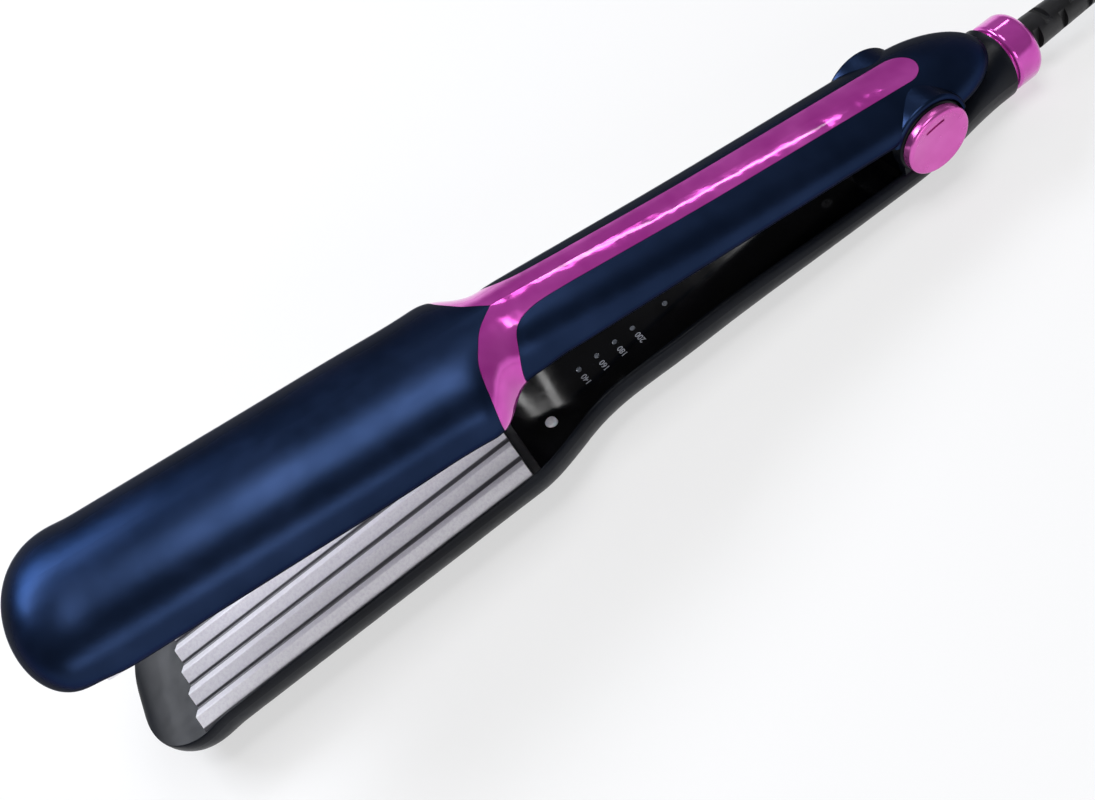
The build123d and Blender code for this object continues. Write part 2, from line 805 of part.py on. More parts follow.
def trim_front(shift=0.0):
    # the line where the front cover meets the trim, seen from above
    f = shoulder_front - shift
    w = wide_half
    return [(f - 14.3, 0), (f - 11.0, 0.12 * w), (f - 8.6, 0.22 * w), (f - 6.1, 0.38 * w),
            (f - 4.1, 0.53 * w), (f - 2.4, 0.80 * w), (f + 0.5, w + 3)]


def trim_face(grow=0.0):
    # wishbone seen from above: a stem along the grip that forks to both sides of the waist
    f = shoulder_front
    stem = trim_stem + grow
    fork = [(f - 34.0, stem), (f - 27.0, stem + 0.15), (f - 21.4, stem + 0.85), (f - 18.2, stem + 1.95)]
    fork += [(f - 15.8 - grow, 9.2), (f - 14.0 - grow, 12.0), (f - 12.0 - grow, 14.6), (f - 10.4 - grow, wide_half + 3)]
    half = []
    for side in (1, -1):
        front = [(ahead(a), side * y) for a, y in trim_front(-grow)]
        rear = [(ahead(a), side * y) for a, y in fork]
        half += [Spline(*front), Line(front[-1], rear[-1]), Spline(*rear), Line(rear[0], (ahead(trim_rear + trim_stem), side * stem))]
    round_ = ThreePointArc((ahead(trim_rear + trim_stem), stem), (ahead(trim_rear - grow), 0),
                           (ahead(trim_rear + trim_stem), -stem))
    return make_face(half + [round_])


def trim():
    return (upper_hull - under_skin(trim_depth)) & extrude(trim_face(), amount=80)


def trim_pocket():
    return (upper_hull - under_skin(trim_depth + trim_gap)) & extrude(trim_face(trim_gap), amount=80)


def region_ahead(shift):
    # all that lies ahead of a line that runs under the trim
    line = trim_front(shift)
    half = []
    for side in (1, -1):
        front = [(ahead(a), side * y) for a, y in line]
        half += [Spline(*front), Line(front[-1], (ahead(tip + 20), side * (wide_half + 3)))]
    edge = Line((ahead(tip + 20), wide_half + 3), (ahead(tip + 20), -wide_half - 3))
    return extrude(make_face(half + [edge]), amount=80)


def hinge_lip(side):
    # rounded edge of the grip cover round the dial or the hinge cap
    y0 = side * lip_reach
    y1 = side * handle_half
    boss = cross_rod(y0, y1, notch_radius + lip_width)
    rim = boss.edges().filter_by(GeomType.CIRCLE).sort_by(Axis.Y)[0 if side < 0 else -1]
    boss = fillet(rim, lip_width * 0.8) - cross_rod(y0 - side, y1 + side, notch_radius)
    low, high = sorted((y0, y1))
    return boss & block(-16, 16, low - 1, high + 1, upper_grip_gap, 20)


def upper_shell():
    shell = upper_hull + hinge_lip(-1) + hinge_lip(1) - upper_room
    for side in (-1, 1):
        y0 = side * lug_outer
        low, high = sorted((y0, side * (handle_half + 6)))
        shell -= cross_rod(y0, side * (handle_half + 6), notch_radius)
        shell -= block(-notch_radius, notch_radius, low, high, -6, 0)
    for a in (plate_rear + 8, plate_rear + plate_length / 2, plate_front - 12):
        rib = block(a, a + rib_wall, -wide_half, wide_half, plate_back + carrier_depth, crown_front)
        shell += rib & upper_room
    for a, y in frame_screw_places():
        shell += peg(a, y, frame_top, crown_front, screw_radius + 1.6) & upper_room
        shell -= peg(a, y, frame_top - 1, frame_low + frame_screw_length, screw_radius)
    return shell - trim_pocket()


def upper_panel():
    # inner cover of the upper grip
    room = arm_room(upper_station, upper_rear + [-12], play=panel_play)
    places = [panel_front - 0.2, 126, 121, 115, 108, 98, 80, 60, 44, 28, upper_panel_rear]
    band = side_band(places, lambda a: upper_face(a) + upper_recess + upper_panel_thickness, upper_panel_thickness, 30)
    panel = room & band
    for a, y in frame_screw_places():
        panel -= peg(a, y, 0, frame_low + 1, screw_head_radius)
    return panel


def upper_frame():
    # metal strip in the upper grip, with two lugs that turn on the hinge
    strip = block(frame_rear, frame_front, -frame_half, frame_half, frame_low, frame_top)
    for a in (40.0, 80.0):
        strip -= block(a - 9, a + 9, -frame_half + 4, frame_half - 4, frame_low - 1, frame_top + 1)
    for side in (-1, 1):
        low, high = sorted((side * lug_inner, side * lug_outer))
        lug = cross_rod(low, high, lug_radius)
        lug += block(-lug_radius + 1, frame_rear + 4, low, high, 1, frame_top)
        hole = bush_outer if side < 0 else pin_radius
        strip += lug
        strip -= cross_rod(low - 1, high + 1, hole + bearing_play)
    for a, y in frame_screw_places():
        strip -= peg(a, y, frame_low - 1, frame_top + 1, screw_radius)
    return strip


def frame_screw_places():
    # on both sides of the leads in turn
    return [(a, frame_screw_side * (-1) ** i) for i, a in enumerate(frame_screws_ahead)]


def frame_screws():
    return [screw(a, y, frame_low, -1, frame_screw_length) for a, y in frame_screw_places()]


# leads inside

def lead_pair(points, radii):
    # two wires side by side; points are places along the arm and heights over the closing plane
    pair = []
    for y in (-lead_spacing / 2, lead_spacing / 2):
        route = [(ahead(a), y, belly_depth + h) for a, h in points]
        path = FilletPolyline(*route, radius=radii) if len(route) > 2 else Line(*route)
        ring = Plane(origin=path @ 0, z_dir=path % 0) * Circle(lead_radius)
        pair.append(sweep(ring, path=path))
    return pair


heater_rear = plate_rear + (plate_length - heater_length) / 2
heater_lead = plate_back + heater_thickness / 2 + 0.2


def mains_leads():
    return lead_pair([(chamber_start + 0.1, lead_height), (board_rear - 0.1, lead_height)], None)


def lower_leads():
    low = board_top + lead_radius
    points = [(board_front - 6, low), (board_front + 6, low), (panel_front - 3, -heater_lead), (heater_rear, -heater_lead)]
    return lead_pair(points, 6.0)


def upper_leads():
    high = frame_top + lead_radius + 0.05
    points = [(frame_rear + 2, high), (frame_front + 3, high), (panel_front - 3, heater_lead), (heater_rear, heater_lead)]
    return lead_pair(points, 6.0)


# cord and plug

exit_x = ahead(housing_end - ring_length - relief_length) + cord_gap
hank_x = exit_x + hank_start
hank_y = hank_side + hank_outer
plug_shift = 8.0            # the plug lies this far in from its run
plug_play = 0.3             # over the layer that it lies on
plug_z = cord_height + 2 * layer_pitch + cord_radius + plug_play + plug_height / 2


def exit_route():
    return [
        (exit_x, 0, swivel_z),
        (exit_x + 16, 0, swivel_z),
        (exit_x + 33, -4, cord_height),
        (exit_x + 49, hank_side + 3.5, cord_height),
        (hank_x, hank_side, cord_height),
    ]


def end_route():
    last = hank_points()[-1][0]
    return [
        (last.X, last.Y, last.Z),
        (last.X + 18, last.Y, last.Z),
        (last.X + 40, last.Y + plug_shift, plug_z),
        (last.X + 58, last.Y + plug_shift, plug_z),
    ]


def corner_radii(route):
    # the largest arc at each corner that its two runs allow
    radii = []
    points = [Vector(*p) for p in route]
    for before, corner, after in zip(points, points[1:], points[2:]):
        turn = math.radians((corner - before).get_angle(after - corner))
        shorter = min((corner - before).length, (after - corner).length)
        radii.append(0.45 * shorter / math.tan(turn / 2))
    return radii


def cord_tube(name, route):
    radii = corner_radii(route)
    path = FilletPolyline(*route, radius=radii)
    ring = Plane(origin=path @ 0, z_dir=path % 0) * Circle(cord_radius)
    tube = sweep(ring, path=path)
    want = math.pi * cord_radius ** 2 * path.length
    print(name, "length", round(path.length, 1), "radii", [round(r, 1) for r in radii],
          "volume", round(tube.volume), "of", round(want))
    return tube


def run_offset(count):
    # a run's distance from the hank's middle line: layers wind in and out in turn
    step = count % (2 * layer_folds)
    return hank_outer - loop_pitch / 2 * min(step, 2 * layer_folds - step)


def run_points(count):
    # start, waist and end of one run; the last run of each layer climbs to the next
    way = 1 if count % 2 == 0 else -1
    low = cord_height + layer_pitch * max(0, (count - 1) // layer_folds)
    high = cord_height + layer_pitch * (count // layer_folds)
    y = hank_y - way * run_offset(count)
    middle = hank_x + hank_run / 2
    ahead_x = Vector(way, 0, 0)
    start = Vector(middle - way * hank_run / 2, y, low)
    waist = Vector(middle, y + way * hank_waist, (low + high) / 2)
    end = Vector(middle + way * hank_run / 2, y, high)
    rising = Vector(way, 0, 2 * (high - low) / hank_run).normalized()
    return [(start, ahead_x), (waist, rising), (end, ahead_x)]


def hank_points():
    points = []
    for count in range(hank_folds):
        points += run_points(count)
    points.append(run_points(hank_folds)[0])
    # the first run goes on in the cord's own direction
    before, start = [Vector(*place) for place in exit_route()[-2:]]
    points[0] = (start, (start - before).normalized())
    return points


def cord_coil():
    tube, path = wound_tube(hank_points(), cord_radius)
    # least gap between turns, measured on points along the middle line
    count = 900
    line = [path @ (i / count) for i in range(count + 1)]
    step = path.length / count
    apart = round(8 * cord_radius / step)
    least = min((line[i] - line[j]).length for i in range(count) for j in range(i + apart, count + 1))
    want = math.pi * cord_radius ** 2 * path.length
    print("cord_coil length", round(path.length, 1), "gap", round(least - 2 * cord_radius, 2),
          "volume", round(tube.volume), "of", round(want))
    return tube


def plug_frame():
    # the plug's own frame: x along the pins, its origin where the cord comes in
    return Pos(*end_route()[-1])


def plug_relief():
    profile = Polyline((0, 0), (0, relief_tip), (plug_relief_length, relief_root), (plug_relief_length, 0), close=True)
    sleeve = revolve(Plane.XZ * make_face(profile), Axis.X)
    for i in range(4):
        slot = Box(rib_slot * 0.8, 8, 2 * relief_root + 2)
        for side in (-1, 1):
            pocket = Pos(3.0 + i * rib_pitch, side * (cord_radius + relief_wall + 4), 0) * slot
            sleeve -= pocket.rotate(Axis.X, 90 * (i % 2))
    return plug_frame() * sleeve


def along_x(x0, x1, y, radius):
    return Pos((x0 + x1) / 2, y, 0) * Rot(0, 90, 0) * Cylinder(radius, x1 - x0)


def plug_body():
    # flat moulded body that widens towards the pins
    x0 = plug_relief_length
    x1 = x0 + plug_length
    neck = plug_neck / 2
    half = plug_width / 2
    outline = [
        Line((x0, -neck), (x0, neck)),
        Spline((x0, neck), (x0 + plug_length * 0.45, neck + 4.2), (x1 - 6, half), tangents=((1, 0.1), (1, 0.2))),
        Line((x1 - 6, half), (x1, half)),
        Line((x1, half), (x1, -half)),
        Line((x1, -half), (x1 - 6, -half)),
        Spline((x1 - 6, -half), (x0 + plug_length * 0.45, -neck - 4.2), (x0, -neck), tangents=((-1, 0.2), (-1, 0.1))),
    ]
    body = extrude(make_face(outline), amount=plug_height / 2, both=True)
    body = fillet(body.edges().filter_by(Axis.Z), 2.0)
    body = fillet(body.faces().sort_by(Axis.Z)[-1].edges(), plug_round)
    body = fillet(body.faces().sort_by(Axis.Z)[0].edges(), plug_round)
    for y in (-plug_pin_spacing / 2, plug_pin_spacing / 2):
        body -= along_x(x1 - plug_pin_root, x1 + 0.001, y, plug_shoulder_radius)
    return plug_frame() * body


def plug_pins():
    pins = []
    x1 = plug_relief_length + plug_length
    for y in (-plug_pin_spacing / 2, plug_pin_spacing / 2):
        free_end = along_x(x1, x1 + plug_pin_length, y, plug_pin_radius)
        free_end = fillet(top_rim(free_end, Axis.X), plug_pin_tip)
        root = along_x(x1 - plug_pin_root, x1, y, plug_shoulder_radius)
        pins.append(plug_frame() * (root + free_end))
    return pins


# write the pieces

def group(solids):
    return Compound(children=list(solids))


def write(name, shape):
    solids = shape.solids()
    shape = solids[0] if len(solids) == 1 else Compound(children=solids)
    export_step(shape, f"parts/{name}.step")
    print(name, len(solids), "solids", round(shape.volume), "mm3")


def build():
    os.makedirs("parts", exist_ok=True)
    write("lower_shell", lower_shell())
    write("lower_panel", lower_panel())
    write("lower_plate", lower_plate())
    write("lower_plate_carrier", turned_over(carrier(lower_lip)))
    write("lower_heater", turned_over(heater()))
    write("lower_heater_clip", turned_over(heater_clip()))
    write("thermal_fuse", turned_over(thermal_fuse()))
    write("indicator_lenses", group(indicator_lenses()))
    write("circuit_board", circuit_board())
    write("board_parts", group(board_parts()))
    write("stop_studs", group(stop_studs()))
    write("panel_screws", group(panel_screws()))
    write("mains_leads", group(mains_leads()))
    write("lower_leads", group(lower_leads()))
    write("rotary_switch", rotary_switch())
    write("hinge_bush", hinge_bush())
    write("hinge_pin", hinge_pin())
    write("hinge_spring", hinge_spring())
    write("hinge_cap", hinge_cap())
    write("swivel_ring", swivel_ring())
    write("swivel_bush", swivel_bush())
    write("dial", dial())
    write("dial_shaft", dial_shaft())
    write("swivel_head", swivel_head())
    write("slip_rings", group(slip_rings()))
    write("strain_relief", strain_relief())
    shell = upper_shell()
    write("front_cover", opened(shell & region_ahead(trim_overlap)))
    write("grip_cover", opened(shell - region_ahead(trim_overlap + trim_gap)))
    write("trim", opened(trim()))
    write("upper_panel", opened(upper_panel()))
    write("upper_frame", opened(upper_frame()))
    write("frame_screws", opened(group(frame_screws())))
    write("upper_plate", opened(upper_plate()))
    write("upper_plate_carrier", opened(carrier(upper_lip)))
    write("upper_heater", opened(heater()))
    write("upper_heater_clip", opened(heater_clip()))
    write("upper_leads", opened(group(upper_leads())))
    write("cord", cord_tube("cord", exit_route()))
    write("cord_coil", cord_coil())
    write("cord_end", cord_tube("cord_end", end_route()))
    write("plug_relief", plug_relief())
    write("plug_body", plug_body())
    write("plug_pins", group(plug_pins()))


build()
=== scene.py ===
import math
import bpy
from mathutils import Matrix, Vector


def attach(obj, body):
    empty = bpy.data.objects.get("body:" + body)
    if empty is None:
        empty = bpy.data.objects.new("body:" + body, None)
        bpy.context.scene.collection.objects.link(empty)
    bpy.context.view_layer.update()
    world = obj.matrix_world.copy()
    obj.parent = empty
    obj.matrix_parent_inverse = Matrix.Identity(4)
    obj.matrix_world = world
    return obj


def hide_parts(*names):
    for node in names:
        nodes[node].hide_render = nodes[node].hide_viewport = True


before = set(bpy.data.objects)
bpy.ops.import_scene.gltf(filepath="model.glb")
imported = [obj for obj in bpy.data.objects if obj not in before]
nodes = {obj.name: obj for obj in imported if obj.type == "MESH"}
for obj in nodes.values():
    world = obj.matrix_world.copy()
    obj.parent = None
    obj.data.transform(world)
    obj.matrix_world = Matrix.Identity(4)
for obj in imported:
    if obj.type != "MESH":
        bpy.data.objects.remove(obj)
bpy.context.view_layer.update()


def report(stage):
    print("stage:", stage)


# camera and cord first

cameraValues = {
    "place": (-0.003726, -0.183259, 0.234045),
    "right": (0.79126, -0.46440, -0.39780),
    "up": (0.61132, 0.61582, 0.49705),
    "back": (0.01415, -0.63647, 0.77117),
    "lens": 35.354,
    "sensor": 36.0,
    "clipStart": 0.01,
}


def makeCamera(values):
    data = bpy.data.cameras.new("photoCamera")
    data.lens = values["lens"]
    data.sensor_width = values["sensor"]
    data.clip_start = values["clipStart"]
    camera = bpy.data.objects.new("photoCamera", data)
    bpy.context.scene.collection.objects.link(camera)
    turn = Matrix((values["right"], values["up"], values["back"])).transposed()
    camera.matrix_world = Matrix.Translation(values["place"]) @ turn.to_4x4()
    bpy.context.scene.camera = camera


cordValues = {
    "diameter": 0.0056,
    "length": 1.79,
    "exitRoute": [(0.1860, 0, 0.0102), (0.2020, 0, 0.0102), (0.2190, -0.0040, 0.0030),
                  (0.2350, -0.0125, 0.0030)],
    "middle": (0.2980, 0.0110),
    "runLength": 0.0960,
    "folds": 10,
    "foldStep": 30,
    "foldsPerLayer": 3,
    "outerRun": 0.0270,
    "runPitch": 0.0068,
    "layerPitch": 0.0063,
    "lowest": 0.0030,
    "waist": 0.0090,
    "besideWaist": 0.015,
    "besideFold": 0.012,
    "climb": (0.35, 0.65),
    "endRoute": [(0.2680, -0.0092, 0.0219), (0.2900, -0.0012, 0.0255), (0.3080, -0.0012, 0.0255)],
}


def runAt(values, count):
    # heading, y and the two heights of one run of the hank; every third run climbs to the next layer
    layer = values["foldsPerLayer"]
    step = count % (2 * layer)
    offset = values["outerRun"] - values["runPitch"] / 2 * min(step, 2 * layer - step)
    way = 1 if count % 2 == 0 else -1
    low = values["lowest"] + values["layerPitch"] * max(0, (count - 1) // layer)
    high = values["lowest"] + values["layerPitch"] * (count // layer)
    return way, values["middle"][1] - way * offset, low, high


def cordRoute(values):
    # out of the relief, down to the table, to and fro in the tied hank, and up to the plug that lies on it
    centre = values["middle"][0]
    half = values["runLength"] / 2
    straight = half - values["besideFold"]
    foldReach = 90 + values["foldStep"] // 2
    route = list(values["exitRoute"])
    for count in range(values["folds"]):
        way, y, low, high = runAt(values, count)
        waistY = y + way * values["waist"]
        before, after = [low + (high - low) * share for share in values["climb"]]
        route += [(centre - way * straight, y, low), (centre - way * values["besideWaist"], waistY, before),
                  (centre + way * values["besideWaist"], waistY, after), (centre + way * straight, y, high)]
        nextY = runAt(values, count + 1)[1]
        radius = abs(nextY - y) / 2 / math.cos(math.radians(values["foldStep"] / 2))
        for turn in range(-foldReach, foldReach + 1, values["foldStep"]):
            angle = math.radians(turn)
            route.append((centre + way * (half + radius * math.cos(angle)),
                          (y + nextY) / 2 + way * radius * math.sin(angle), high))
    return route + list(values["endRoute"])


def makeCord(values):
    data = bpy.data.curves.new("mainsCord", "CURVE")
    data.dimensions = "3D"
    data.bevel_depth = 1.0  # each point's radius gives the thickness
    data.bevel_resolution = 5
    data.resolution_u = 4
    data.use_fill_caps = True
    route = cordRoute(values)
    spline = data.splines.new("NURBS")
    spline.points.add(len(route) - 1)
    for point, place in zip(spline.points, route):
        point.co = (*place, 1)
        point.radius = values["diameter"] / 2
    spline.order_u = 3
    spline.use_endpoint_u = True
    cord = bpy.data.objects.new("mainsCord", data)
    bpy.context.scene.collection.objects.link(cord)
    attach(cord, "lower_arm")
    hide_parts("cord", "cord_coil", "cord_end")
    return cord


tieValues = {
    "start": 0.2925,
    "width": 0.0110,
    "thickness": 0.0009,
    "clearance": 0.0001,
    "corners": [(-0.0070, 0.0030), (-0.0070, 0.01245), (-0.0012, 0.0255), (0.0188, 0.01875), (0.0256, 0.0093),
                (0.0256, 0.0030)],
    "sides": 40,
    "weld": 0.00002,
    "edgeWidth": 0.00025,
    "edgeAngle": math.radians(50),
    "smoothAngle": math.radians(40),
    "overFloor": 0.00003,
    "cutTolerance": 0.000001,
}


def makeTie(values):
    # a strap pulled tight round the waist: the hull of the outermost strands, opened at both ends and given
    # its thickness
    bpy.ops.object.select_all(action="DESELECT")
    radius = cordValues["diameter"] / 2 + values["clearance"]
    middle = values["start"] + values["width"] / 2
    made = []
    for y, z in values["corners"]:
        bpy.ops.mesh.primitive_cylinder_add(vertices=values["sides"], radius=radius, depth=values["width"],
                                            location=(middle, y, z), rotation=(0, math.pi / 2, 0))
        made.append(bpy.context.object)
    for piece in made:
        piece.select_set(True)
    bpy.ops.object.join()
    tie = bpy.context.object
    tie.name = "hankTie"
    bpy.ops.object.transform_apply(location=True, rotation=True, scale=True)
    bpy.ops.object.mode_set(mode="EDIT")
    bpy.ops.mesh.select_all(action="SELECT")
    bpy.ops.mesh.convex_hull()
    bpy.ops.mesh.select_mode(type="FACE")
    bpy.ops.mesh.select_all(action="DESELECT")
    bpy.ops.object.mode_set(mode="OBJECT")
    for face in tie.data.polygons:
        face.select = abs(face.normal.x) > 0.9  # the two flat ends
    bpy.ops.object.mode_set(mode="EDIT")
    bpy.ops.mesh.delete(type="FACE")
    bpy.ops.mesh.select_mode(type="VERT")
    bpy.ops.mesh.select_all(action="SELECT")
    bpy.ops.mesh.remove_doubles(threshold=values["weld"])
    bpy.ops.mesh.normals_make_consistent(inside=False)
    bpy.ops.object.mode_set(mode="OBJECT")
    wall = tie.modifiers.new("wall", "SOLIDIFY")
    wall.thickness = values["thickness"]
    wall.offset = 1
    bpy.ops.object.modifier_apply(modifier=wall.name)
    edges = tie.modifiers.new("softEdges", "BEVEL")
    edges.width = values["edgeWidth"]
    edges.segments = 2
    edges.angle_limit = values["edgeAngle"]
    bpy.ops.object.modifier_apply(modifier=edges.name)
    # pressed flat where the hank lies on it
    bpy.ops.object.mode_set(mode="EDIT")
    bpy.ops.mesh.select_all(action="SELECT")
    bpy.ops.mesh.bisect(plane_co=(0, 0, values["overFloor"]), plane_no=(0, 0, -1), clear_outer=True,
                        use_fill=True, threshold=values["cutTolerance"])
    bpy.ops.object.mode_set(mode="OBJECT")
    bpy.ops.object.shade_smooth_by_angle(angle=values["smoothAngle"])
    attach(tie, "lower_arm")
    return tie


makeCamera(cameraValues)
cord = makeCord(cordValues)
tie = makeTie(tieValues)
report("camera, cord and tie")


# materials: the sizes of their patterns are in metres

def fromHex(text):
    # sRGB hex to the linear colour that a shader takes
    channels = [int(text[i:i + 2], 16) / 255 for i in (1, 3, 5)]
    linear = [c / 12.92 if c <= 0.04045 else ((c + 0.055) / 1.055) ** 2.4 for c in channels]
    return (*linear, 1)


def addNode(tree, kind, values=None, links=None):
    node = tree.nodes.new(kind)
    for name, value in (values or {}).items():
        if isinstance(name, str) and name not in node.inputs:
            setattr(node, name, value)
        else:
            node.inputs[name].default_value = value
    for name, source in (links or {}).items():
        tree.links.new(source, node.inputs[name])
    return node


patternValues = {
    "stops": (0.35, 0.65),  # where along a pattern the two colours start to mix
    "range": (0.3, 0.7),  # what a noise really spans, over which the roughness is spread
}


def makeFinish(values):
    # the shader's fixed settings, then colour, roughness and bump, each with its own pattern or all with one
    material = bpy.data.materials.new(values["name"])
    material.use_nodes = True
    tree = material.node_tree
    shader = tree.nodes["Principled BSDF"]
    for socket, value in values["shader"].items():
        shader.inputs[socket].default_value = value
    place = addNode(tree, "ShaderNodeTexCoord").outputs["Object"]
    if "stretch" in values:
        stretch = addNode(tree, "ShaderNodeMapping", {"Scale": values["stretch"]}, {"Vector": place})
        place = stretch.outputs["Vector"]
    patterns = {}
    for use in ("colour", "roughness", "bump"):
        if use in values:
            pattern = dict(values.get(use + "Pattern") or values["pattern"])
            kind = pattern.pop("kind", "ShaderNodeTexNoise")
            pattern["Scale"] = 1 / pattern.pop("size")
            patterns[use] = addNode(tree, kind, pattern, {"Vector": place}).outputs["Fac"]
    ramp = addNode(tree, "ShaderNodeValToRGB", links={"Fac": patterns["colour"]})
    stops = values.get("stops", patternValues["stops"])
    for end, position, colour in zip(ramp.color_ramp.elements, stops, values["colour"]):
        end.position = position
        end.color = fromHex(colour)
    tree.links.new(ramp.outputs["Color"], shader.inputs["Base Color"])
    if "roughness" in values:
        start, end = patternValues["range"]
        low, high = values["roughness"]
        spread = addNode(tree, "ShaderNodeMapRange",
                         {"From Min": start, "From Max": end, "To Min": low, "To Max": high},
                         {"Value": patterns["roughness"]})
        tree.links.new(spread.outputs["Result"], shader.inputs["Roughness"])
    if "bump" in values:
        depth, strength = values["bump"]
        bump = addNode(tree, "ShaderNodeBump", {"Strength": strength, "Distance": depth},
                       {"Height": patterns["bump"]})
        tree.links.new(bump.outputs["Normal"], shader.inputs["Normal"])
    return material


# ABS covers under navy pearl lacquer: mica gives a wide blue sheen where a light stands over them, near
# black elsewhere; its flakes of 0.05 mm are drawn at 0.3 mm so that they show
pearlLacqueredAbs = {
    "name": "pearlLacqueredAbs",
    "shader": {"Metallic": 0.85, "Specular Tint": fromHex("#2c3d5c")},
    "colour": ("#1b2842", "#212f4c"), "colourPattern": {"size": 0.016},
    "roughness": (0.32, 0.37), "roughnessPattern": {"size": 0.004, "Detail": 3},
    "bump": (0.00001, 0.35), "bumpPattern": {"size": 0.0003},
}

# the lower shell: ABS moulded in blue-black against a finely etched tool, satin, with soft-edged highlights;
# the etching of 0.05 mm is drawn at 0.35 mm so that it shows
satinAbs = {
    "name": "satinAbs",
    "shader": {"IOR": 1.5, "Specular IOR Level": 0.14},
    "colour": ("#090c13", "#0d111a"), "colourPattern": {"size": 0.014},
    "roughness": (0.34, 0.42), "roughnessPattern": {"size": 0.004, "Detail": 3},
    "bump": (0.00001, 0.35), "bumpPattern": {"size": 0.00035},
}

# polished ABS panels: near black, with mirror-like reflections and the faint film of handling
glossAbs = {
    "name": "glossAbs",
    "shader": {"IOR": 1.53, "Specular IOR Level": 0.3},
    "colour": ("#070709", "#0b0b0e"), "colourPattern": {"size": 0.012},
    "roughness": (0.07, 0.13), "roughnessPattern": {"size": 0.006, "Detail": 4},
    "bump": (0.00004, 0.12), "bumpPattern": {"size": 0.009, "Detail": 1},
}

# vacuum-metallised ABS under magenta lacquer: tinted, bright, with the slight waves of a moulded skin
metallisedAbs = {
    "name": "metallisedAbs",
    "shader": {"Metallic": 0.6, "Coat Weight": 0.8, "Coat Roughness": 0.04},
    "colour": ("#cc3fb4", "#e056c8"), "colourPattern": {"size": 0.010},
    "roughness": (0.09, 0.14), "roughnessPattern": {"size": 0.003, "Detail": 3},
    "bump": (0.0006, 0.6), "bumpPattern": {"size": 0.010},
}

# the dial's finer, satin metallising: pale magenta with a wide sheen, the marks of its mould too fine to
# see apart
satinMetallisedAbs = {
    "name": "satinMetallisedAbs",
    "shader": {"Metallic": 0.7},
    "colour": ("#d45cb6", "#de6ac2"), "colourPattern": {"size": 0.008},
    "roughness": (0.24, 0.28), "roughnessPattern": {"size": 0.003, "Detail": 3},
    "bump": (0.000002, 0.1), "bumpPattern": {"size": 0.0005},
}

# moulded light guides in polycarbonate: clear and slightly milky, with a glossy domed end
clearPolycarbonate = {
    "name": "clearPolycarbonate",
    "shader": {"IOR": 1.58, "Transmission Weight": 0.55},
    "colour": ("#7d828c", "#9a9fa9"), "colourPattern": {"size": 0.001},
    "roughness": (0.12, 0.2), "roughnessPattern": {"size": 0.0008},
}

# the stop studs: milky white silicone, soft and matt; a little light passes through
mouldedSilicone = {
    "name": "mouldedSilicone",
    "shader": {"IOR": 1.41, "Subsurface Weight": 0.2, "Subsurface Scale": 0.001},
    "colour": ("#dfe2ea", "#f1f3f7"), "colourPattern": {"size": 0.001},
    "roughness": (0.42, 0.55), "roughnessPattern": {"size": 0.0007},
}

# the cord's sheath and the mouldings on it: black soft PVC, semi-matt, with a faint pebble from the tool
flexiblePvc = {
    "name": "flexiblePvc",
    "shader": {"IOR": 1.5},
    "colour": ("#0b0b0d", "#131317"), "colourPattern": {"size": 0.006},
    "roughness": (0.38, 0.5), "roughnessPattern": {"size": 0.002, "Detail": 3},
    "bump": (0.00002, 0.4), "bumpPattern": {"size": 0.0004},
}

# pins, springs, screws and stampings: plain drawn steel with fine marks along it
drawnSteel = {
    "name": "drawnSteel",
    "shader": {"Metallic": 1.0},
    "stretch": (0.12, 1, 1), "pattern": {"size": 0.00025},
    "colour": ("#9b9ca0", "#b9babd"), "roughness": (0.22, 0.38), "bump": (0.000006, 0.4),
}

# turned brass of the pins, bush and rings: yellow, bright, its lathe marks blurred to a fine mottle
turnedBrass = {
    "name": "turnedBrass",
    "shader": {"Metallic": 1.0},
    "pattern": {"size": 0.0004, "Detail": 3},
    "colour": ("#c9a65c", "#dfc07a"), "roughness": (0.16, 0.28),
}

# heat-proof trays, switch and bearings: black nylon, matt, flecked by its glass fibres
glassFilledNylon = {
    "name": "glassFilledNylon",
    "shader": {"IOR": 1.53},
    "stretch": (0.3, 1, 1), "pattern": {"size": 0.0004, "Detail": 3, "Roughness": 0.6},
    "colour": ("#141415", "#242426"), "roughness": (0.5, 0.68), "bump": (0.00002, 0.4),
}

# heater slabs: alumina, fired and chalky
firedAlumina = {
    "name": "firedAlumina",
    "shader": {"IOR": 1.76},
    "pattern": {"size": 0.0006, "Detail": 4, "Roughness": 0.7},
    "colour": ("#d8d3c8", "#ece8df"), "roughness": (0.6, 0.75),
}

# circuit board: green lacquer over glass laminate, copper showing through as paler bands 1.2 mm wide
lacqueredLaminate = {
    "name": "lacqueredLaminate",
    "shader": {"IOR": 1.52, "Coat Weight": 0.3, "Coat Roughness": 0.15},
    "pattern": {"kind": "ShaderNodeTexWave", "size": 0.0075, "Distortion": 2.0, "Detail": 1.0},
    "colour": ("#154a29", "#2a6b3c"), "stops": (0.45, 0.55), "roughness": (0.3, 0.4),
}

# sleeves of the leads: white woven glass under silicone, ribbed every 0.5 mm
siliconeSleeve = {
    "name": "siliconeSleeve",
    "shader": {"IOR": 1.45},
    "pattern": {"kind": "ShaderNodeTexWave", "size": 0.0031, "Distortion": 0.4,
                "bands_direction": "DIAGONAL"},
    "colour": ("#d2cfc6", "#eceae3"), "stops": (0.2, 0.8), "roughness": (0.5, 0.65), "bump": (0.00004, 0.5),
}

# the hank's tie: black woven nylon, matt, with ribs across it 0.6 mm apart
wovenNylonStrap = {
    "name": "wovenNylonStrap",
    "shader": {"Sheen Weight": 0.2},
    "pattern": {"kind": "ShaderNodeTexWave", "size": 0.0037, "Distortion": 0.5},
    "colour": ("#0d0d0f", "#1b1b1e"), "stops": (0.2, 0.8), "roughness": (0.75, 0.9), "bump": (0.0001, 0.6),
}

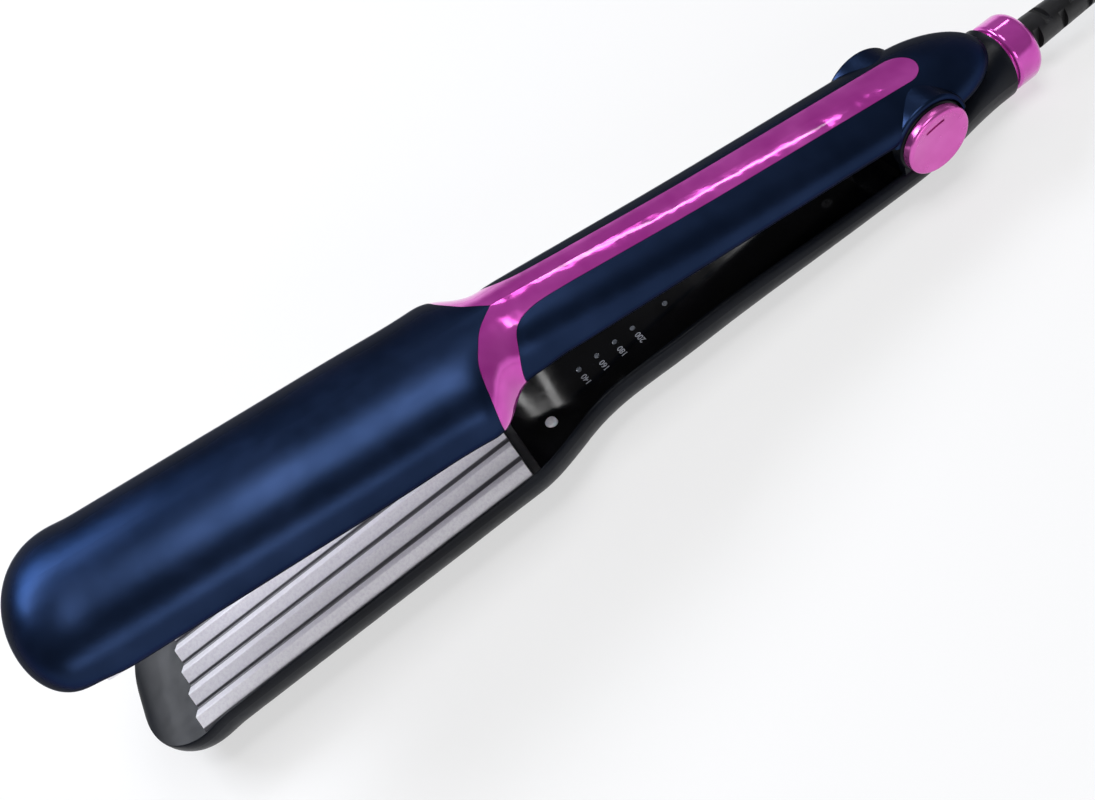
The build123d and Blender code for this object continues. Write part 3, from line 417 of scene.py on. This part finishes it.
# pad-printed figures on the gloss panel: grey ink, matt, slightly uneven
padPrintInk = {
    "name": "padPrintInk",
    "shader": {"IOR": 1.5},
    "colour": ("#8f9199", "#a8aab1"), "colourPattern": {"size": 0.0004},
    "roughness": (0.45, 0.6), "roughnessPattern": {"size": 0.0006},
}

# matt white paper sweep under the object
mattPaper = {
    "name": "mattPaper",
    "shader": {"Specular IOR Level": 0.1, "Roughness": 0.9},
    "colour": ("#f2f2f3", "#f4f4f5"), "colourPattern": {"size": 0.4},
}

# die-cast aluminium plates under a pale ceramic coat: lavender white, satin, peppered with fine grit; the
# grit of 0.1 mm is drawn at 0.3 mm so that it shows. makePlateFinish paints the floor of each valley dark
# grey, painted shade standing in for the shadow in the grooves
ceramicCoatedAluminium = {
    "name": "ceramicCoatedAluminium",
    "shader": {"IOR": 1.6},
    "colour": ("#e9e5ee", "#f7f5fa"), "stops": (0.3, 0.6),
    "colourPattern": {"size": 0.0007, "Detail": 3, "Roughness": 0.6},
    "roughness": (0.30, 0.42), "roughnessPattern": {"size": 0.002, "Detail": 3},
    "bump": (0.00002, 0.4), "bumpPattern": {"size": 0.0003, "Detail": 3},
}

plateValues = {
    "hinge": (0.110, 0.019),
    "openAngle": math.radians(8.7),
    "halfGap": 0.00035,
    "ridgeHeight": 0.0024,
    # painted shade: the dark grey given to each valley's floor, and the shares of the ridge height over which
    # it fades out
    "valleyShadeColour": "#4b4a4f",
    "valleyShadeShares": (0.17, 0.24),
}


def makePlateFinish(values, name, upwards, valley):
    # upwards points out of the plate's ridges, and valley is how far along it the valleys lie
    material = makeFinish({**ceramicCoatedAluminium, "name": name})
    tree = material.node_tree
    base = tree.nodes["Principled BSDF"].inputs["Base Color"]
    coat = base.links[0].from_socket
    place = addNode(tree, "ShaderNodeTexCoord").outputs["Object"]
    height = addNode(tree, "ShaderNodeVectorMath", {"operation": "DOT_PRODUCT", 1: upwards}, {0: place})
    # painted shade: below the start height the valley floor takes the dark grey, fading to the plate's own
    # colour by the end height
    start, end = [valley + share * values["ridgeHeight"] for share in values["valleyShadeShares"]]
    unshaded = addNode(tree, "ShaderNodeMapRange", {"From Min": start, "From Max": end},
                    {"Value": height.outputs["Value"]})
    mix = addNode(tree, "ShaderNodeMix", {"data_type": "RGBA"}, {"Factor": unshaded.outputs["Result"]})
    sockets = {socket.identifier: socket for socket in [*mix.inputs, *mix.outputs]}
    sockets["A_Color"].default_value = fromHex(values["valleyShadeColour"])
    tree.links.new(coat, sockets["B_Color"])
    tree.links.new(sockets["Result_Color"], base)
    return material


def plateFinishes(values):
    # the lower plate lies level; the upper one stands open about the hinge, its ridges pointing down
    x, z = values["hinge"]
    sine, cosine = math.sin(values["openAngle"]), math.cos(values["openAngle"])
    depth = values["halfGap"] + values["ridgeHeight"] / 2
    low = makePlateFinish(values, "ceramicCoatedAluminiumLow", (0, 0, 1), z - depth)
    high = makePlateFinish(values, "ceramicCoatedAluminiumHigh", (-sine, 0, -cosine),
                           -x * sine - z * cosine - depth)
    return low, high


finishes = [
    (pearlLacqueredAbs, ["front_cover", "grip_cover"]),
    (satinAbs, ["lower_shell", "hinge_cap"]),
    (glossAbs, ["lower_panel", "upper_panel"]),
    (metallisedAbs, ["trim", "swivel_ring"]),
    (satinMetallisedAbs, ["dial"]),
    (clearPolycarbonate, ["indicator_lenses"]),
    (mouldedSilicone, ["stop_studs"]),
    (flexiblePvc, ["strain_relief", "cord", "cord_coil", "cord_end", "plug_relief", "plug_body"]),
    (turnedBrass, ["plug_pins", "hinge_bush", "slip_rings"]),
    (drawnSteel, ["upper_frame", "hinge_pin", "hinge_spring", "panel_screws", "frame_screws",
                  "lower_heater_clip", "upper_heater_clip", "thermal_fuse"]),
    (glassFilledNylon, ["dial_shaft", "rotary_switch", "swivel_head", "swivel_bush",
                        "lower_plate_carrier", "upper_plate_carrier", "board_parts"]),
    (firedAlumina, ["lower_heater", "upper_heater"]),
    (lacqueredLaminate, ["circuit_board"]),
    (siliconeSleeve, ["mains_leads", "lower_leads", "upper_leads"]),
]


lowFinish, highFinish = plateFinishes(plateValues)
dressed = [(makeFinish(finish), names) for finish, names in finishes]
dressed += [(lowFinish, ["lower_plate"]), (highFinish, ["upper_plate"])]
for material, names in dressed:
    for name in names:
        for slot in nodes[name].material_slots:
            slot.material = material
    if "cord" in names:
        cord.data.materials.append(material)
tie.data.materials.append(makeFinish(wovenNylonStrap))
report("materials on " + str(sum(len(names) for material, names in dressed)) + " nodes")


# printed figures beside the lights

figureValues = {
    "texts": ["140", "160", "180", "200"],
    "firstLight": 0.0038,
    "lightPitch": 0.0060,
    "size": 0.0024,
    "nearSide": -0.0024,
    "above": 0.03,
    "boldness": 0.00004,
    "curveSteps": 4,
    "film": 0.00004,
}


def makeFigures(values, ink):
    bpy.ops.object.select_all(action="DESELECT")
    made = []
    for i, text in enumerate(values["texts"]):
        place = (values["firstLight"] + i * values["lightPitch"], values["nearSide"], values["above"])
        bpy.ops.object.text_add(location=place, rotation=(0, 0, math.pi / 2))
        figure = bpy.context.object
        figure.data.body = text
        figure.data.size = values["size"]
        figure.data.align_x = "RIGHT"
        figure.data.align_y = "CENTER"
        figure.data.offset = values["boldness"]
        figure.data.resolution_u = values["curveSteps"]
        bpy.ops.object.convert(target="MESH")
        made.append(bpy.context.object)
        bpy.ops.object.select_all(action="DESELECT")
    for figure in made:
        figure.select_set(True)
    bpy.context.view_layer.objects.active = made[0]
    bpy.ops.object.join()
    figures = bpy.context.object
    figures.name = "lightFigures"
    bpy.ops.object.transform_apply(location=True, rotation=True, scale=True)
    # laid on the panel from above
    wrap = figures.modifiers.new("layOn", "SHRINKWRAP")
    wrap.target = nodes["lower_panel"]
    wrap.wrap_method = "PROJECT"
    wrap.use_project_z = True
    wrap.use_negative_direction = True
    wrap.use_positive_direction = False
    wrap.offset = values["film"]
    bpy.ops.object.modifier_apply(modifier=wrap.name)
    figures.data.materials.clear()
    figures.data.materials.append(ink)
    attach(figures, "lower_arm")


makeFigures(figureValues, makeFinish(padPrintInk))
report("figures")


# floor, lamps and world

stageValues = {
    "floorSize": 8.0,
    "floorHeight": -0.0001,
    "whiteShare": 0.6,
    "worldColour": "#f8f9fc",
    "horizon": 0.95,
    "overhead": 0.10,
    "fade": (0.05, 0.35),
}


def makeFloor(values):
    bpy.ops.object.select_all(action="DESELECT")
    bpy.ops.mesh.primitive_plane_add(size=values["floorSize"], location=(0, 0, values["floorHeight"]))
    floor = bpy.context.object
    floor.name = "floor"
    bpy.ops.object.transform_apply(location=True)
    # where the paper is looked at, straight or in a reflection, part of it is plain white
    material = makeFinish(mattPaper)
    tree = material.node_tree
    rays = addNode(tree, "ShaderNodeLightPath").outputs
    looked = addNode(tree, "ShaderNodeMath", {"operation": "MAXIMUM"},
                     {0: rays["Is Camera Ray"], 1: rays["Is Glossy Ray"]})
    looked = addNode(tree, "ShaderNodeMath", {"operation": "MAXIMUM"},
                     {0: looked.outputs[0], 1: rays["Is Transmission Ray"]})
    share = addNode(tree, "ShaderNodeMath", {"operation": "MULTIPLY", 1: values["whiteShare"]},
                    {0: looked.outputs[0]})
    white = addNode(tree, "ShaderNodeEmission", {"Color": (1, 1, 1, 1), "Strength": 1.0})
    paper = tree.nodes["Principled BSDF"]
    mix = addNode(tree, "ShaderNodeMixShader",
                  links={0: share.outputs[0], 1: paper.outputs[0], 2: white.outputs[0]})
    tree.links.new(mix.outputs[0], tree.nodes["Material Output"].inputs["Surface"])
    floor.data.materials.append(material)


lampValues = {
    "backSoftbox": {"place": (-0.56, 0.65, 0.75), "target": (-0.05, 0, 0.02), "size": (0.56, 0.30),
                    "power": 8.6, "colour": "#f3f7ff"},
    "topSoftbox": {"place": (0.05, 0, 1.1), "target": (0, 0, 0.02), "size": (0.5, 0.5),
                   "power": 5.6, "colour": "#ffffff"},
    "frontFill": {"place": (-0.3, -1.1, 0.5), "target": (0, 0, 0.02), "size": (1.0, 0.4),
                  "power": 4.0, "colour": "#ffffff"},
    "stripSoftbox": {"place": (0.50, 0.70, 0.85), "target": (0.03, 0, 0.02), "size": (0.62, 0.05),
                     "power": 0.8, "colour": "#ffffff"},
}


def makeLamp(name, values):
    data = bpy.data.lights.new(name, "AREA")
    data.shape = "RECTANGLE"
    data.size, data.size_y = values["size"]
    data.energy = values["power"]
    data.color = fromHex(values["colour"])[:3]
    lamp = bpy.data.objects.new(name, data)
    bpy.context.scene.collection.objects.link(lamp)
    lamp.location = values["place"]
    aim = Vector(values["target"]) - Vector(values["place"])
    lamp.rotation_euler = aim.to_track_quat("-Z", "Y").to_euler()


def makeWorld(values):
    # a pale cove all round the table under a dark ceiling
    world = bpy.data.worlds.new("studio")
    bpy.context.scene.world = world
    world.use_nodes = True
    tree = world.node_tree
    background = tree.nodes["Background"]
    background.inputs["Color"].default_value = fromHex(values["worldColour"])
    direction = addNode(tree, "ShaderNodeTexCoord").outputs["Generated"]
    height = addNode(tree, "ShaderNodeSeparateXYZ", links={"Vector": direction}).outputs["Z"]
    start, end = values["fade"]
    fade = addNode(tree, "ShaderNodeMapRange",
                   {"interpolation_type": "SMOOTHSTEP", "From Min": start, "From Max": end,
                    "To Min": values["horizon"], "To Max": values["overhead"]}, {"Value": height})
    tree.links.new(fade.outputs["Result"], background.inputs["Strength"])


makeFloor(stageValues)
for name, values in lampValues.items():
    makeLamp(name, values)
makeWorld(stageValues)
bpy.context.scene.view_settings.view_transform = "Standard"
report("stage")
